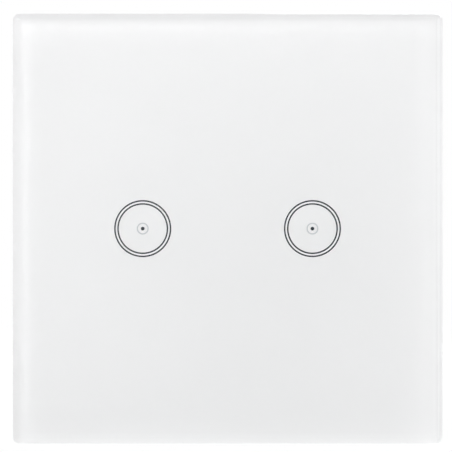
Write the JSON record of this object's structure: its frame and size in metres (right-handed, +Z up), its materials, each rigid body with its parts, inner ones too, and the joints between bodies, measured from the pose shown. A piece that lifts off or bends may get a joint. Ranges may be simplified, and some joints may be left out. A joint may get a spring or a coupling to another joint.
{
  "type": "smart light switch",
  "caption": "Square glass touch light switch for a wall box: clipped panel with two ringed touch fields, plastic base with steel strap, and a stepped rear box with terminals and relays.",
  "frame": {"origin": "centre of the switch on the wall plane, which is the back face of the base", "axes": "+X right and +Z up as seen from the room, +Y into the wall; the glass faces -Y"},
  "size_m": [0.086, 0.0334, 0.086],
  "materials": {
    "clear_glass": "clear, polished",
    "white_print": "opaque white ink",
    "dark_tint": "dark translucent ink",
    "grey_print": "pale grey ink",
    "foam_tape": "foam tape",
    "white_plastic": "fine moulded texture",
    "box_plastic": "moulded",
    "zinc_steel": "zinc plated",
    "spring_steel": "spring steel",
    "touch_board_mask": "black solder mask",
    "power_board_mask": "green solder mask",
    "radio_board_mask": "blue solder mask",
    "clear_plastic": "frosted light guide",
    "led_white": "chip package",
    "chip_black": "moulded package",
    "ceramic_chip": "fired ceramic",
    "tin_steel": "tin plated",
    "black_plastic": "moulded",
    "relay_blue": "moulded",
    "copper_wire": "enamelled copper wire",
    "soft_iron": "plated iron",
    "terminal_green": "moulded",
    "brass_bar": "tinned brass",
    "can_sleeve": "shrink sleeve",
    "film_yellow": "potted case",
    "fuse_brown": "potted case",
    "varistor_blue": "dipped coating",
    "ferrite": "ferrite",
    "winding_tape": "polyester tape"
  },
  "bodies": {
    "base": {"carrier": "white_plastic", "mounting_strap": "zinc_steel", "panel_clips": "spring_steel", "rear_box": "box_plastic", "housing_screws": "zinc_steel", "touch_board": "touch_board_mask", "led_chips": "led_white", "light_ring_left": "clear_plastic", "light_ring_right": "clear_plastic", "light_pipe_left": "clear_plastic", "light_pipe_right": "clear_plastic", "touch_spring_left": "spring_steel", "touch_spring_right": "spring_steel", "radio_board": "radio_board_mask", "radio_chip": "chip_black", "radio_shield": "tin_steel", "touch_chip": "chip_black", "board_passives": "ceramic_chip", "header_base": "black_plastic", "header_pins": "brass_bar", "socket_strip": "black_plastic", "power_board": "power_board_mask", "relay_bases": "black_plastic", "relay_yokes": "soft_iron", "relay_bobbins": "black_plastic", "relay_coils": "copper_wire", "relay_cores": "soft_iron", "relay_springs": "spring_steel", "relay_terminals": "brass_bar", "relay_covers": "relay_blue", "terminal_block": "terminal_green", "terminal_bars": "brass_bar", "film_capacitor": "film_yellow", "fuse": "fuse_brown", "main_capacitor": "can_sleeve", "output_capacitor": "can_sleeve", "inductor": "can_sleeve", "varistor": "varistor_blue", "bridge_rectifier": "chip_black", "transformer_core": "ferrite", "transformer_bobbin": "black_plastic", "transformer_pins": "tin_steel", "transformer_winding": "winding_tape"},
    "front_panel": {"glass_panel": "clear_glass", "panel_print": "white_print", "window_tint": "dark_tint", "halo_print": "grey_print", "panel_adhesive": "foam_tape", "panel_frame": "white_plastic"},
    "terminal_screw_1": {"terminal_screw_1": "zinc_steel"},
    "terminal_cage_1": {"terminal_cage_1": "zinc_steel"},
    "terminal_screw_2": {"terminal_screw_2": "zinc_steel"},
    "terminal_cage_2": {"terminal_cage_2": "zinc_steel"},
    "terminal_screw_3": {"terminal_screw_3": "zinc_steel"},
    "terminal_cage_3": {"terminal_cage_3": "zinc_steel"},
    "terminal_screw_4": {"terminal_screw_4": "zinc_steel"},
    "terminal_cage_4": {"terminal_cage_4": "zinc_steel"},
    "relay_armature_left": {"relay_armature_left": "soft_iron"},
    "relay_armature_right": {"relay_armature_right": "soft_iron"}
  },
  "joints": [
    {"name": "front_panel_snap", "type": "slide", "parent": "base", "child": "front_panel", "axis": [0, -1, 0], "range_m": [0, 0.03], "deforming": ["panel_clips"]},
    {"name": "terminal_screw_1_turn", "type": "hinge", "parent": "base", "child": "terminal_screw_1", "pos_m": [-0.0105, 0.0155, -0.0175], "axis": [0, -1, 0], "range_deg": [0, 2016]},
    {"name": "terminal_cage_1_rise", "type": "slide", "parent": "base", "child": "terminal_cage_1", "axis": [0, 1, 0], "range_m": [0, 0.0028]},
    {"name": "terminal_screw_2_turn", "type": "hinge", "parent": "base", "child": "terminal_screw_2", "pos_m": [-0.0035, 0.0155, -0.0175], "axis": [0, -1, 0], "range_deg": [0, 2016]},
    {"name": "terminal_cage_2_rise", "type": "slide", "parent": "base", "child": "terminal_cage_2", "axis": [0, 1, 0], "range_m": [0, 0.0028]},
    {"name": "terminal_screw_3_turn", "type": "hinge", "parent": "base", "child": "terminal_screw_3", "pos_m": [0.0035, 0.0155, -0.0175], "axis": [0, -1, 0], "range_deg": [0, 2016]},
    {"name": "terminal_cage_3_rise", "type": "slide", "parent": "base", "child": "terminal_cage_3", "axis": [0, 1, 0], "range_m": [0, 0.0028]},
    {"name": "terminal_screw_4_turn", "type": "hinge", "parent": "base", "child": "terminal_screw_4", "pos_m": [0.0105, 0.0155, -0.0175], "axis": [0, -1, 0], "range_deg": [0, 2016]},
    {"name": "terminal_cage_4_rise", "type": "slide", "parent": "base", "child": "terminal_cage_4", "axis": [0, 1, 0], "range_m": [0, 0.0028]},
    {"name": "relay_armature_left_rock", "type": "hinge", "parent": "base", "child": "relay_armature_left", "pos_m": [-0.0175, 0.0151, -0.0045], "axis": [0, 0, -1], "range_deg": [0, 2.6], "stiffness_Nm_per_rad": 0.005, "springref_deg": -2.86},
    {"name": "relay_armature_right_rock", "type": "hinge", "parent": "base", "child": "relay_armature_right", "pos_m": [0.0035, 0.0151, -0.0045], "axis": [0, 0, -1], "range_deg": [0, 2.6], "stiffness_Nm_per_rad": 0.005, "springref_deg": -2.86}
  ],
  "couplings": [
    {"joint": "terminal_screw_1_turn", "follows": "terminal_cage_1_rise", "rad_per_m": 12566},
    {"joint": "terminal_screw_2_turn", "follows": "terminal_cage_2_rise", "rad_per_m": 12566},
    {"joint": "terminal_screw_3_turn", "follows": "terminal_cage_3_rise", "rad_per_m": 12566},
    {"joint": "terminal_screw_4_turn", "follows": "terminal_cage_4_rise", "rad_per_m": 12566}
  ]
}
